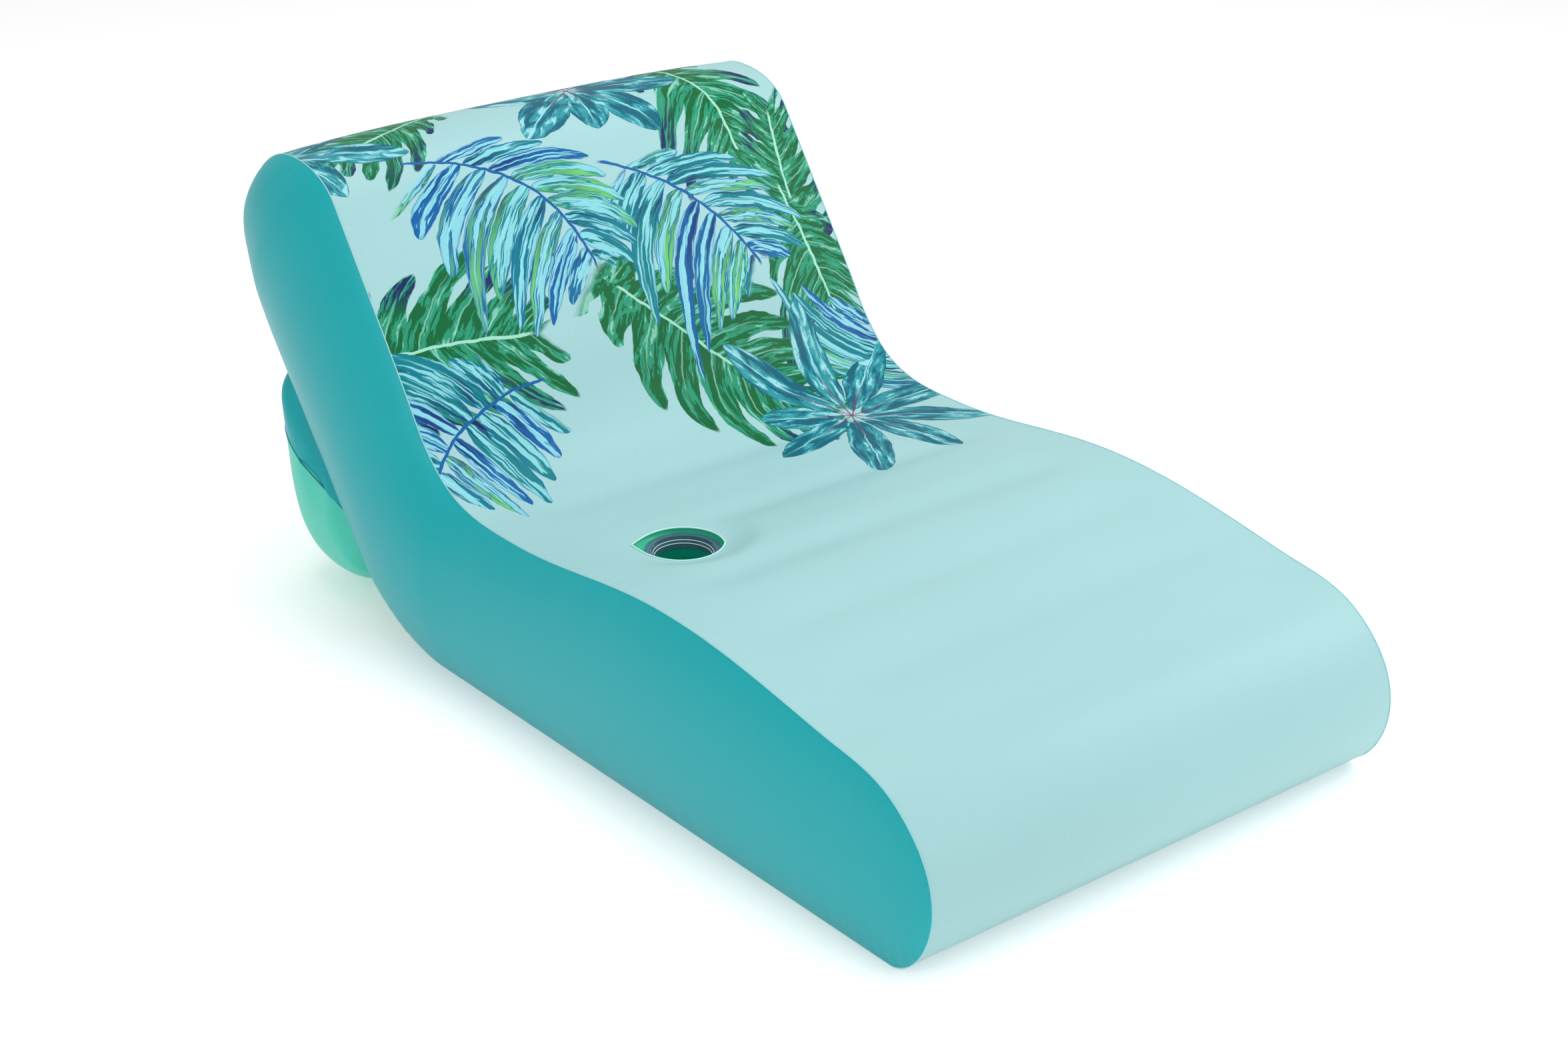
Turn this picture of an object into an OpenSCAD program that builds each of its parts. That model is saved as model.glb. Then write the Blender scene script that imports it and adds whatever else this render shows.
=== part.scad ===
// Inflatable pool float: a long seat with a tall reclined backrest, a bolster behind it and a drink holder.
// X is across the float, -Y is the nose, +Y is the backrest, +Z is up; the underside lies on z = 0.

/* [Overall] */
// Length from the front of the nose roll to the back of the head roll
overall_length = 1780; // [1480:5:2140]
// Width across the two bulging side panels
overall_width = 1070; // [880:5:1300]
// Height of the top of the head roll
overall_height = 793; // [660:1:960]

/* [Seat] */
// Height of the front-most point of the nose roll
nose_height = 120; // [100:1:145]
// Height of the seat behind the nose roll
front_height = 300; // [250:1:350]
// Height of the seat at its crest
seat_height = 345; // [290:1:415]
// Height of the hollow in front of the backrest
hip_height = 312; // [270:1:360]
// Distance from the nose to the seat's crest
crest_reach = 610; // [510:5:720]
// Distance from the nose to the hip hollow
hip_reach = 1000; // [900:5:1080]

/* [Backrest] */
// Height of the foot of the backrest's front face
lumbar_height = 478; // [440:1:540]
// Height of the upper end of the backrest's back face
shoulder_height = 430; // [380:1:500]

/* [Skin] */
// Thickness of the soft sheet
skin = 0.3; // [0.25:0.05:0.6]
// How far a side panel bulges out beside the backrest
side_bulge = 60; // [40:1:75]
// Share of that bulge left at the nose
nose_bulge_share = 0.5; // [0.3:0.05:0.9]
// Gap between an inner web's end and the side seam
web_end_gap = 70; // [40:5:120]

/* [Bolster] */
// Height of the bolster's rear-most line
bolster_mid_height = 209; // [180:1:240]
// Distance from the back of the head roll to the back of the bolster
bolster_setback = 25; // [10:1:40]
// Half length of the bolster with its rounded ends
bolster_half_length = 496; // [420:1:520]
// Half length of the bolster's belly sheet, up to its end panels
bolster_sheet_half = 462; // [390:1:480]

/* [Drink holder] */
// Radius of the ring's opening
cup_r = 46; // [38:0.5:56]
// Width of the soft rim between the ring's opening and the hole in the seat's top sheet
holder_rim = 21; // [16:1:30]
// Depth of the well below the ring
cup_depth = 105; // [80:1:130]
// Drop of the ring below the seat's surface
ring_drop = 15; // [12:1:30]
// Distance of the holder's axis from the float's middle plane
cup_offset = 280; // [220:1:330]
// Distance of the holder's axis from the nose
cup_reach = 810; // [760:1:860]
// Height of each of the two steps in the clear ring's mouth
ring_step_h = 5; // [3:0.5:8]
// Width of each of those steps
ring_step_w = 2; // [1:0.25:3]
// Length of the ring's narrow bore, below the steps
ring_bore_l = 8; // [5:0.5:12]

/* [Valves] */
// Outside radius of the seat valve's neck
neck_r = 18; // [14:0.5:22]
// Height of the seat valve's neck above the panel
neck_h = 10; // [8:0.5:14]
// Radius of the seat valve's welding flange
neck_flange_r = 32; // [28:1:38]
// Bore radius of the small stem valves
stem_bore_r = 4; // [3:0.1:5]
// Height of a stem above its panel
stem_h = 12; // [10:0.5:15]
// Radius of a stem valve's welding flange
stem_flange_r = 20; // [16:1:24]
// Radial running clearance of plugs, rings and cap
run_gap = 0.06; // [0.03:0.01:0.1]
// Clearance kept between pieces that move apart
part_gap = 0.3; // [0.25:0.05:0.5]

/* [Hidden] */
$fn = 72;
eps = 0.01;

mint = [0.68, 0.85, 0.85];
teal = [0.25, 0.65, 0.68];
green = [0.33, 0.76, 0.70];
clear = [0.80, 0.88, 0.92, 0.6];
white = [0.93, 0.94, 0.93];

nose_y = -overall_length / 2;
rear_y = overall_length / 2;
half_w = overall_width / 2 - side_bulge - skin;
function from_nose(d) = nose_y + d;
// places along the backrest keep their share of the run between the hip and the rear
hip_y = from_nose(hip_reach);
function back_y(share) = hip_y + share * (rear_y - hip_y);
// heights on the upper backrest keep their share of the rise between the lumbar and the top
function back_z(share) = lumbar_height + share * (overall_height - lumbar_height);

// An outline node is [y, z, direction of travel in degrees, handle length as a share of the span]
top_nodes = [
    [nose_y, nose_height, 90, 0.36],
    [from_nose(80), 0.853 * front_height, 35, 0.36],
    [from_nose(240), front_height, 10, 0.36],
    [from_nose(crest_reach), seat_height, 0, 0.36],
    [hip_y, hip_height, 0, 0.36],
    [back_y(0.269), hip_height + 0.28 * (lumbar_height - hip_height), 38, 0.36],
    [back_y(0.391), lumbar_height, 55.5, 0.36],
    [back_y(0.628), back_z(0.832), 55, 0.36],
    [back_y(0.797), overall_height, 0, 0.36],
    [rear_y, back_z(0.505), -90, 0.36]
];
heel = [back_y(0.572), 0.23 * shoulder_height];
shoulder = [back_y(0.910), shoulder_height];
back_slope = atan2(shoulder[1] - heel[1], shoulder[0] - heel[0]);
bottom_nodes = [
    [nose_y, nose_height, -90, 0.36],
    [from_nose(90), 0, 0, 0.36],
    [from_nose(240), 0, 0, 0.33],
    [from_nose(crest_reach), 0, 0, 0.33],
    [hip_y, 0, 0, 0.33],
    [back_y(0.269), 0, 0, 0.33],
    [heel[0], heel[1], back_slope, 0.33],
    [shoulder[0], shoulder[1], back_slope, 0.33],
    [back_y(0.985), 1.28 * shoulder_height, 72, 0.33],
    [rear_y, back_z(0.505), 90, 0.36]
];

steps = 8; // stations per span
function ray(a) = [cos(a), sin(a)];
function span(a, b, t) =
    let (p0 = [a[0], a[1]], p3 = [b[0], b[1]], d = norm(p3 - p0),
         p1 = p0 + a[3] * d * ray(a[2]), p2 = p3 - b[3] * d * ray(b[2]), s = 1 - t)
    s * s * s * p0 + 3 * s * s * t * p1 + 3 * s * t * t * p2 + t * t * t * p3;
function last(v) = v[len(v) - 1];
function curve(n) = concat(
    [for (i = [0 : len(n) - 2], j = [0 : steps - 1]) span(n[i], n[i + 1], j / steps)],
    [[last(n)[0], last(n)[1]]]
);
top_line = curve(top_nodes);
bottom_line = curve(bottom_nodes);
stations = len(top_line) - 1;

// The closed outline runs from the front fold up over the nose, along the top, down the back and
// home along the underside, with the inside on its right hand.
front_fold = steps;
outline = concat(
    [for (i = [front_fold : -1 : 0]) bottom_line[i]],
    [for (i = [1 : stations]) top_line[i]],
    [for (i = [stations - 1 : -1 : front_fold + 1]) bottom_line[i]]
);
points_round = len(outline);
rear_at = front_fold + stations;
heel_fold = 5 * steps; // station of the bottom line where the underside turns up
heel_at = rear_at + stations - heel_fold;
function at(i) = outline[i % points_round];
function inward(i) =
    let (d = at(i + 1) - at(i + points_round - 1)) [d[1], -d[0]] / norm(d);
function inset(i, depth) = at(i) + depth * inward(i);

module across(width) {
    rotate([90, 0, 90]) linear_extrude(height = width, center = true) children();
}

// A strip of sheet that follows the outline between two stations, from one depth to another
module strip(from, to, outer, inner) {
    polygon(concat(
        [for (i = [from : to]) inset(i, outer)],
        [for (i = [to : -1 : from]) inset(i, inner)]
    ));
}

seat_from = front_fold + steps;
seat_to = front_fold + 5 * steps;
function seat_z(y) = lookup(y, [for (i = [seat_from : seat_to]) at(i)]);
function back_face_z(y) = lookup(y, [for (i = [heel_fold : 8 * steps]) bottom_line[i]]);

// ---- main skins ----
cup_hole_r = cup_r + holder_rim;
cup_at = [-cup_offset, from_nose(cup_reach)];
ring_z = seat_z(cup_at[1]) - ring_drop;

module top_sheet() {
    color(mint) difference() {
        across(2 * half_w) strip(0, rear_at, 0, skin);
        translate([cup_at[0], cup_at[1], ring_z - 40]) cylinder(r = cup_hole_r, h = 120);
    }
}

module back_sheet() {
    color(green) across(2 * half_w) strip(rear_at, heel_at, 0, skin);
}

module bottom_sheet() {
    color(mint) across(2 * half_w) strip(heel_at, points_round, 0, skin);
}

// A side panel is a dome over the outline: rows run from the top line to the bottom line
rows = 8;
full_chord = 350;
function ramp(i) = nose_bulge_share + (1 - nose_bulge_share) * max(0, min(1, (i / stations - 0.1) / 0.5));
function on_line(line, u) =
    let (i = min(stations - 1, floor(u))) line[i] + (u - i) * (line[i + 1] - line[i]);
function dome(u) =
    side_bulge * ramp(u) * min(1, norm(on_line(top_line, u) - on_line(bottom_line, u)) / full_chord);
function row_share(j) = (1 - cos(180 * j / rows)) / 2;
function panel_point(u, j, lift) =
    let (s = row_share(j), p = (1 - s) * on_line(top_line, u) + s * on_line(bottom_line, u))
    [half_w + lift + dome(u) * 4 * s * (1 - s), p[0], p[1]];

// The panel comes to a point at each end of the outline, where it stops just short of zero width
tip = 0.04;
panel_stations = concat([tip, 0.4], [for (i = [1 : stations - 1]) i], [stations - 0.4, stations - tip]);
module side_panel() {
    count = len(panel_stations);
    wide = rows + 1;
    points = concat(
        [for (u = panel_stations, j = [0 : rows]) panel_point(u, j, skin)],
        [for (u = panel_stations, j = [0 : rows]) panel_point(u, j, 0)]
    );
    below = count * wide;
    function id(i, j) = i * wide + j;
    polyhedron(points, concat(
        [for (i = [0 : count - 2], j = [0 : rows - 1], k = [0, 1])
            k == 0 ? [id(i + 1, j + 1), id(i, j + 1), id(i, j)] : [id(i + 1, j), id(i + 1, j + 1), id(i, j)]],
        [for (i = [0 : count - 2], j = [0 : rows - 1], k = [0, 1])
            k == 0 ? [below + id(i, j), below + id(i, j + 1), below + id(i + 1, j + 1)]
                   : [below + id(i, j), below + id(i + 1, j + 1), below + id(i + 1, j)]],
        [for (i = [0 : count - 2]) [below + id(i, 0), below + id(i + 1, 0), id(i + 1, 0), id(i, 0)]],
        [for (i = [0 : count - 2]) [below + id(i + 1, rows), below + id(i, rows), id(i, rows), id(i + 1, rows)]],
        [for (j = [0 : rows - 1]) [below + id(0, j + 1), below + id(0, j), id(0, j), id(0, j + 1)]],
        [for (j = [0 : rows - 1])
            [below + id(count - 1, j), below + id(count - 1, j + 1), id(count - 1, j + 1), id(count - 1, j)]]
    ));
}

// ---- inner webs, which hold the top and the underside together ----
web_places = [146, 308, 465, 640, 849, 1058];
web_half = half_w - web_end_gap;
module seat_web(k) {
    y = from_nose(web_places[k]);
    color(mint) difference() {
        translate([-web_half, y - skin / 2, skin])
            cube([2 * web_half, skin, seat_z(y) - 2.5 * skin]);
        translate([cup_at[0], cup_at[1], ring_z - cup_depth - 8])
            cylinder(r = cup_hole_r + 15, h = 200);
    }
}

// A flat web from the top line to the bottom line at one station
module cross_web(i, half) {
    a = top_line[i];
    b = bottom_line[i];
    d = (b - a) / norm(b - a);
    side = skin / 2 * [d[1], -d[0]];
    p = a + 2 * skin * d;
    q = b - 2 * skin * d;
    across(2 * half) polygon([p - side, q - side, q + side, p + side]);
}
back_web_stations = [47, 52, 57];
module bulkhead() {
    color(mint) cross_web(37, half_w);
}
module back_web(k) {
    color(mint) cross_web(back_web_stations[k], web_half);
}

// ---- bolster behind the backrest: a closed bag whose front lies on the back sheet ----
bag_gap = 0.5;
back_out = [sin(back_slope), -cos(back_slope)];
bolster_a = bottom_line[6 * steps] + bag_gap * back_out;
bolster_b = bottom_line[7 * steps] + bag_gap * back_out;
bolster_c = (bolster_a + bolster_b) / 2;
bolster_rear = rear_y - bolster_setback;
bolster_nodes = [
    [bolster_a[0], bolster_a[1], -80, 0.40],
    [(bolster_a[0] + bolster_rear) / 2, 0, 0, 0.5],
    [bolster_rear, bolster_mid_height, 90, 0.5],
    [bolster_b[0], bolster_b[1], 150, 0.36]
];
belly_line = curve(bolster_nodes);
front_parts = 6;
bolster_loop = concat(belly_line, [for (k = [1 : front_parts - 1])
    bolster_b + k / front_parts * (bolster_a - bolster_b)]);
loop_count = len(bolster_loop);
function bolster_in(i) =
    let (a = bolster_loop[(i + loop_count - 1) % loop_count], b = bolster_loop[(i + 1) % loop_count],
         d = b - a)
    bolster_loop[i] + skin * [-d[1], d[0]] / norm(d);
round_power = 4.5;
function taper(x) = pow(1 - pow(min(1, abs(x) / bolster_half_length), round_power), 1 / round_power);
function bolster_ring(x, size, loop) =
    [for (p = loop) let (q = bolster_c + size * (p - bolster_c)) [x, q[0], q[1]]];
bolster_loop_in = [for (i = [0 : loop_count - 1]) bolster_in(i)];

// Triangles between rings j and j + 1 of one surface; side turns them outwards or inwards
function ring_faces(rings, start, side) = [
    for (j = [0 : rings - 2], i = [0 : loop_count - 1], k = [0, 1])
        let (n = (i + 1) % loop_count, a = start + j * loop_count, b = a + loop_count,
             f = k == 0 ? [a + i, b + n, a + n] : [a + i, b + i, b + n])
        side > 0 ? f : [f[2], f[1], f[0]]
];
function rim_faces(outer, inner, side) = [
    for (i = [0 : loop_count - 1])
        let (n = (i + 1) % loop_count, f = [outer + i, outer + n, inner + n, inner + i])
        side > 0 ? f : [f[3], f[2], f[1], f[0]]
];
sheet_rings = [for (k = [-8 : 8]) let (x = bolster_sheet_half * sin(90 * k / 8)) [x, taper(x)]];
module bolster_belly() {
    rings = len(sheet_rings);
    inner = rings * loop_count;
    points = concat(
        [for (r = sheet_rings) each bolster_ring(r[0], r[1], bolster_loop)],
        [for (r = sheet_rings) each bolster_ring(r[0], r[1], bolster_loop_in)]
    );
    polyhedron(points, concat(
        ring_faces(rings, 0, 1), ring_faces(rings, inner, -1),
        rim_faces(0, inner, 1), rim_faces(inner - loop_count, 2 * inner - loop_count, -1)
    ));
}
end_depth = bolster_half_length - bolster_sheet_half;
end_size = taper(bolster_sheet_half);
end_rings = [for (a = [0, 20, 40, 60, 75, 86]) [bolster_sheet_half + end_depth * sin(a), end_size * cos(a)]];
module bolster_end() {
    rings = len(end_rings);
    inner = rings * loop_count;
    points = concat(
        [for (r = end_rings) each bolster_ring(r[0] + skin, r[1], bolster_loop)],
        [for (r = end_rings) each bolster_ring(r[0], r[1], bolster_loop_in)]
    );
    polyhedron(points, concat(
        ring_faces(rings, 0, 1), ring_faces(rings, inner, -1), rim_faces(0, inner, 1),
        [[for (i = [loop_count - 1 : -1 : 0]) inner - loop_count + i]],
        [[for (i = [0 : loop_count - 1]) 2 * inner - loop_count + i]]
    ));
}

bolster_web_places = [0.3, 0.66];
function belly_z(y) = lookup(y, [for (i = [0 : 2 * steps]) belly_line[i]]);
bolster_web_half = 320;
module bolster_web(k) {
    y = bolster_a[0] + bolster_web_places[k] * (bolster_rear - bolster_a[0]);
    high = back_face_z(y) - (bag_gap + 2 * skin) / cos(back_slope);
    color(green) translate([0, y, 0]) rotate([90, 0, 0]) linear_extrude(height = skin) polygon(concat(
        [[bolster_web_half, high], [-bolster_web_half, high]],
        [for (x = [-bolster_web_half : bolster_web_half / 4 : bolster_web_half])
            let (size = taper(x), q = bolster_c[0] + (y - bolster_c[0]) / size)
            [x, bolster_c[1] + size * (belly_z(q) - bolster_c[1]) + 5 * skin]]
    ));
}

// ---- drink holder ----
collar_wall = 0.6;
shelf_r = cup_hole_r - 6;
collar_rise = 0.4 * ring_drop;
ring_wall = 1.2;
well_r = cup_r + 2 * ring_step_w + ring_wall + 0.8;
module under_seat(depth) {
    across(3 * half_w) polygon(concat(
        [for (i = [seat_from : seat_to]) inset(i, depth)],
        [[at(seat_to)[0], 100], [at(seat_from)[0], 100]]
    ));
}
module drink_collar() {
    color(green) union() {
        intersection() {
            translate([cup_at[0], cup_at[1], ring_z]) rotate_extrude() polygon([
                [well_r, -collar_wall], [shelf_r + collar_wall, -collar_wall],
                [cup_hole_r + collar_wall, collar_rise], [cup_hole_r + collar_wall, 60],
                [cup_hole_r, 60], [cup_hole_r, collar_rise], [shelf_r, 0], [well_r, 0]
            ]);
            under_seat(skin);
        }
        intersection() {
            translate([cup_at[0], cup_at[1], ring_z - 20]) difference() {
                cylinder(r = cup_hole_r + 11, h = 60);
                translate([0, 0, -1]) cylinder(r = cup_hole_r + eps, h = 62);
            }
            across(3 * half_w) strip(seat_from, seat_to, skin, 2 * skin);
        }
    }
}
// The ring hangs in the well by its flange, and narrows in two steps to its bore
ring_flange_t = 1.5;
function ring_inner(k) = [cup_r + k * ring_step_w, (k - 2) * ring_step_h];
module drink_ring() {
    flange_r = shelf_r - 0.4;
    bottom = -2 * ring_step_h - ring_bore_l;
    color(clear) translate([cup_at[0], cup_at[1], ring_z]) rotate_extrude() polygon(concat(
        [[cup_r, bottom]],
        [for (k = [0, 1]) each [ring_inner(k), ring_inner(k) + [ring_step_w, 0]]],
        [[ring_inner(2)[0], ring_flange_t], [flange_r, ring_flange_t], [flange_r, 0]],
        [[ring_inner(2)[0] + ring_wall, 0]],
        [for (k = [1, 0]) each [
            ring_inner(k) + [ring_step_w + ring_wall, -ring_wall], ring_inner(k) + [ring_wall, -ring_wall]
        ]],
        [[cup_r + ring_wall, bottom]]
    ));
}
module drink_well() {
    color(green) translate([cup_at[0], cup_at[1], ring_z]) rotate_extrude() polygon([
        [well_r, -collar_wall], [shelf_r, -collar_wall], [shelf_r, -2 * collar_wall],
        [well_r + collar_wall, -2 * collar_wall], [well_r + collar_wall, -cup_depth], [well_r, -cup_depth]
    ]);
}
module drink_floor() {
    color(green) translate([cup_at[0], cup_at[1], ring_z - cup_depth - collar_wall])
        cylinder(r = well_r + collar_wall, h = collar_wall);
}

// ---- valves: each is drawn with z = 0 on the sheet's outside and +z leaving the float ----
seat_valve_station = 3 * steps;
back_valve_station = 6 * steps + 4;
bolster_valve_x = 250;
function panel_mid(i) = [half_w + skin + dome(i), (top_line[i] + bottom_line[i])[0] / 2,
                         (top_line[i] + bottom_line[i])[1] / 2];
seat_valve_at = panel_mid(seat_valve_station);
back_valve_at = panel_mid(back_valve_station);
bolster_valve_at = [bolster_valve_x,
    bolster_c[0] + taper(bolster_valve_x) * (bolster_rear - bolster_c[0]),
    bolster_c[1] + taper(bolster_valve_x) * (bolster_mid_height - bolster_c[1])];
module on_seat_panel() { translate(seat_valve_at) rotate([90, 0, 90]) children(); }
module on_back_panel() { translate(back_valve_at) rotate([90, 0, 90]) children(); }
module on_bolster() { translate(bolster_valve_at) rotate([90, 0, 180]) children(); }

// the sheet falls away from a flat flange by this much at the rim, more on a panel with more bulge for its height
function sag(r) = 1.1895 * side_bulge / overall_height * r + 1.2;
flange_t = 0.8;
stem_r = stem_bore_r + 2.6;
plug_head_r = stem_r + 1;
strap_ring_r = stem_r + 1.8;
hole_gap = 0.4;

module neck_base() {
    top = -skin - sag(neck_flange_r);
    rotate_extrude() polygon([
        [neck_r - 3, top - flange_t], [neck_flange_r, top - flange_t], [neck_flange_r, top],
        [neck_r, top], [neck_r, neck_h], [neck_r - 3, neck_h]
    ]);
}
insert_bore_r = neck_r - 8;
insert_lip_z = neck_h + 0.02;
module neck_insert() {
    rotate_extrude() polygon([
        [insert_bore_r - 3, 0], [neck_r - 3.02, 0], [neck_r - 3.02, insert_lip_z],
        [neck_r - 0.5, insert_lip_z], [neck_r - 0.5, insert_lip_z + 1.2],
        [insert_bore_r, insert_lip_z + 1.2], [insert_bore_r, 1.2], [insert_bore_r - 3, 1.2]
    ]);
}
flap_t = 0.5;
module flap(r, z) {
    translate([0, 0, z - flap_t]) union() {
        cylinder(r = r, h = flap_t);
        translate([-0.4 * r, 0, 0]) cube([0.8 * r, r + 0.8, flap_t]);
    }
}
cap_z = 2;
cap_r = neck_r + 4;
module neck_ring() {
    ring_in = neck_r + run_gap;
    difference() {
        union() {
            translate([0, 0, 0.3]) cylinder(r = cap_r, h = 1.4);
            translate([-cap_r - 12, -4, 0.3]) cube([cap_r + 12, 8, 1.4]);
        }
        translate([0, 0, -1]) cylinder(r = ring_in, h = 6);
    }
}
module neck_cap() {
    cap_in = neck_r + run_gap;
    cap_top = insert_lip_z + 1.2 + 0.8;
    difference() {
        union() {
            rotate_extrude() polygon([
                [cap_in, cap_z], [cap_r, cap_z], [cap_r, cap_top + 0.8], [cap_r - 1.2, cap_top + 2],
                [0, cap_top + 2], [0, cap_top], [cap_in, cap_top]
            ]);
            for (k = [0 : 11])
                rotate([0, 0, 30 * k]) translate([cap_r - 0.3, 0, cap_z]) cylinder(r = 1, h = cap_top - cap_z);
        }
        for (side = [-1, 1])
            translate([side * 7 - 2.5, -8, cap_top + 1.2]) cube([5, 16, 2]);
    }
}
module stem_base() {
    top = -skin - sag(stem_flange_r);
    rotate_extrude() polygon([
        [stem_bore_r, top - flange_t], [stem_flange_r, top - flange_t], [stem_flange_r, top],
        [stem_r, top], [stem_r, stem_h], [stem_bore_r, stem_h]
    ]);
}
plug_z = stem_h + part_gap;
module stem_plug() {
    union() {
        translate([0, 0, plug_z]) cylinder(r = plug_head_r, h = 2);
        translate([0, 0, plug_z - 8]) cylinder(r = stem_bore_r - run_gap, h = 8.5);
    }
}
strap_foot = 0.6;
module stem_strap() {
    difference() {
        union() {
            translate([0, 0, strap_foot]) cylinder(r = strap_ring_r, h = 1.2);
            translate([plug_head_r, -2, strap_foot]) cube([1.6, 4, plug_z + 2 - strap_foot]);
        }
        translate([0, 0, -1]) cylinder(r = stem_r + run_gap, h = stem_h);
    }
}
stem_flap_z = -skin - sag(stem_flange_r) - flange_t - part_gap;

module side_panel_left() {
    color(teal) mirror([1, 0, 0]) side_panel();
}
module side_panel_right() {
    color(teal) difference() {
        side_panel();
        on_seat_panel() translate([0, 0, -8]) cylinder(r = neck_r + hole_gap, h = 16);
        on_back_panel() translate([0, 0, -8]) cylinder(r = stem_r + hole_gap, h = 16);
    }
}
module bolster_skin() {
    color(green) difference() {
        bolster_belly();
        on_bolster() translate([0, 0, -8]) cylinder(r = stem_r + hole_gap, h = 16);
    }
}
module bolster_end_right() {
    color(teal) bolster_end();
}
module bolster_end_left() {
    color(teal) mirror([1, 0, 0]) bolster_end();
}

module seat_valve_base() { color(white) on_seat_panel() neck_base(); }
module seat_valve_insert() { color(white) on_seat_panel() neck_insert(); }
module seat_valve_flap() { color(white) on_seat_panel() flap(insert_bore_r - 2, -part_gap); }
module seat_valve_ring() { color(white) on_seat_panel() neck_ring(); }
module seat_valve_cap() { color(white) on_seat_panel() neck_cap(); }
module back_valve_base() { color(white) on_back_panel() stem_base(); }
module back_valve_flap() { color(white) on_back_panel() flap(stem_bore_r + 1.2, stem_flap_z); }
module back_valve_plug() { color(white) on_back_panel() stem_plug(); }
module back_valve_strap() { color(white) on_back_panel() stem_strap(); }
module bolster_valve_base() { color(white) on_bolster() stem_base(); }
module bolster_valve_flap() { color(white) on_bolster() flap(stem_bore_r + 1.2, stem_flap_z); }
module bolster_valve_plug() { color(white) on_bolster() stem_plug(); }
module bolster_valve_strap() { color(white) on_bolster() stem_strap(); }

top_sheet();
bottom_sheet();
back_sheet();
side_panel_left();
side_panel_right();
for (k = [0 : 5])
    seat_web(k);
bulkhead();
for (k = [0 : 2])
    back_web(k);
bolster_skin();
bolster_end_left();
bolster_end_right();
for (k = [0 : 1])
    bolster_web(k);
drink_collar();
drink_ring();
drink_well();
drink_floor();
seat_valve_base();
seat_valve_insert();
seat_valve_flap();
seat_valve_ring();
seat_valve_cap();
back_valve_base();
back_valve_flap();
back_valve_plug();
back_valve_strap();
bolster_valve_base();
bolster_valve_flap();
bolster_valve_plug();
bolster_valve_strap();
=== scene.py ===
import math

import bmesh
import bpy
from mathutils import Matrix, Vector, noise
from mathutils.geometry import interpolate_bezier


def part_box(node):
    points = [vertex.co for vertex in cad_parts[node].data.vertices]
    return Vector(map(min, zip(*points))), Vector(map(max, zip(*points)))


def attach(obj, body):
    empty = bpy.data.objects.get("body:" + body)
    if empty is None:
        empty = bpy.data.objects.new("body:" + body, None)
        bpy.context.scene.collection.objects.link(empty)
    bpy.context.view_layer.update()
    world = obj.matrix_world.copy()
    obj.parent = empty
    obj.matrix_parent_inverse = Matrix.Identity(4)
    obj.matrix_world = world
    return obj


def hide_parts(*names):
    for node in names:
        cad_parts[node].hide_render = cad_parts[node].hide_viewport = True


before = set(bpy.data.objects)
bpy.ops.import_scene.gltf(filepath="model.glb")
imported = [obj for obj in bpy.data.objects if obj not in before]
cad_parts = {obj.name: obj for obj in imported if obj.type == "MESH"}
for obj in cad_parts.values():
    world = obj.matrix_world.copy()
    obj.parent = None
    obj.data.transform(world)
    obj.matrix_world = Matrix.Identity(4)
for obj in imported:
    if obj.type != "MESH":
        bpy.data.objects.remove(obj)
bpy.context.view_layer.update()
print("frame loaded:", len(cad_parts), "pieces")


# the outline that every sheet follows
# each node is (y, z, direction of travel in degrees, handle length as a share of the span)
outline = {
    "halfWidth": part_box("top_sheet")[1].x,
    "top": [
        (-0.890, 0.120, 90, 0.36), (-0.810, 0.256, 35, 0.36), (-0.650, 0.300, 10, 0.36),
        (-0.280, 0.345, 0, 0.36), (0.110, 0.312, 0, 0.36), (0.320, 0.358, 38, 0.36),
        (0.415, 0.478, 55.5, 0.36), (0.600, 0.740, 55, 0.36), (0.732, 0.793, 0, 0.36),
        (0.890, 0.637, -90, 0.36),
    ],
    "bottom": [
        (-0.890, 0.120, -90, 0.36), (-0.800, 0.0, 0, 0.36), (-0.650, 0.0, 0, 0.33),
        (-0.280, 0.0, 0, 0.33), (0.110, 0.0, 0, 0.33), (0.320, 0.0, 0, 0.33),
        (0.556, 0.099, 51.5, 0.33), (0.820, 0.430, 51.5, 0.33), (0.878, 0.550, 72, 0.33),
        (0.890, 0.637, 90, 0.36),
    ],
    "stepsPerSpan": 40,
}
halfWidth = outline["halfWidth"]


def direction(degrees):
    return Vector((math.cos(math.radians(degrees)), math.sin(math.radians(degrees)), 0))


def curveThrough(nodes, steps):
    points = []
    for a, b in zip(nodes[:-1], nodes[1:]):
        start, end = Vector((a[0], a[1], 0)), Vector((b[0], b[1], 0))
        span = (end - start).length
        handleA = start + a[3] * span * direction(a[2])
        handleB = end - b[3] * span * direction(b[2])
        points += interpolate_bezier(start, handleA, handleB, end, steps + 1)[:-1]
    points.append(Vector((nodes[-1][0], nodes[-1][1], 0)))
    return [Vector((p.x, p.y)) for p in points]


def runningLength(points):
    total = [0.0]
    for a, b in zip(points[:-1], points[1:]):
        total.append(total[-1] + (b - a).length)
    return total


def alongSteps(points, t):
    # t counts points from the first one, and may lie between two
    i = max(0, min(len(points) - 2, int(t)))
    return points[i].lerp(points[i + 1], t - i)


def stepAt(lengths, s):
    low, high = 0, len(lengths) - 2
    while low < high:
        middle = (low + high + 1) // 2
        if lengths[middle] <= s:
            low = middle
        else:
            high = middle - 1
    return low + (s - lengths[low]) / max(1e-9, lengths[low + 1] - lengths[low])


def normalOf(points, t, side=1):
    # side 1 is the left of the way along the line, seen with +Y to the right and +Z up
    d = alongSteps(points, min(len(points) - 1, t + 0.6)) - alongSteps(points, max(0, t - 0.6))
    return Vector((-d.y, d.x)).normalized() * side


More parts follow.
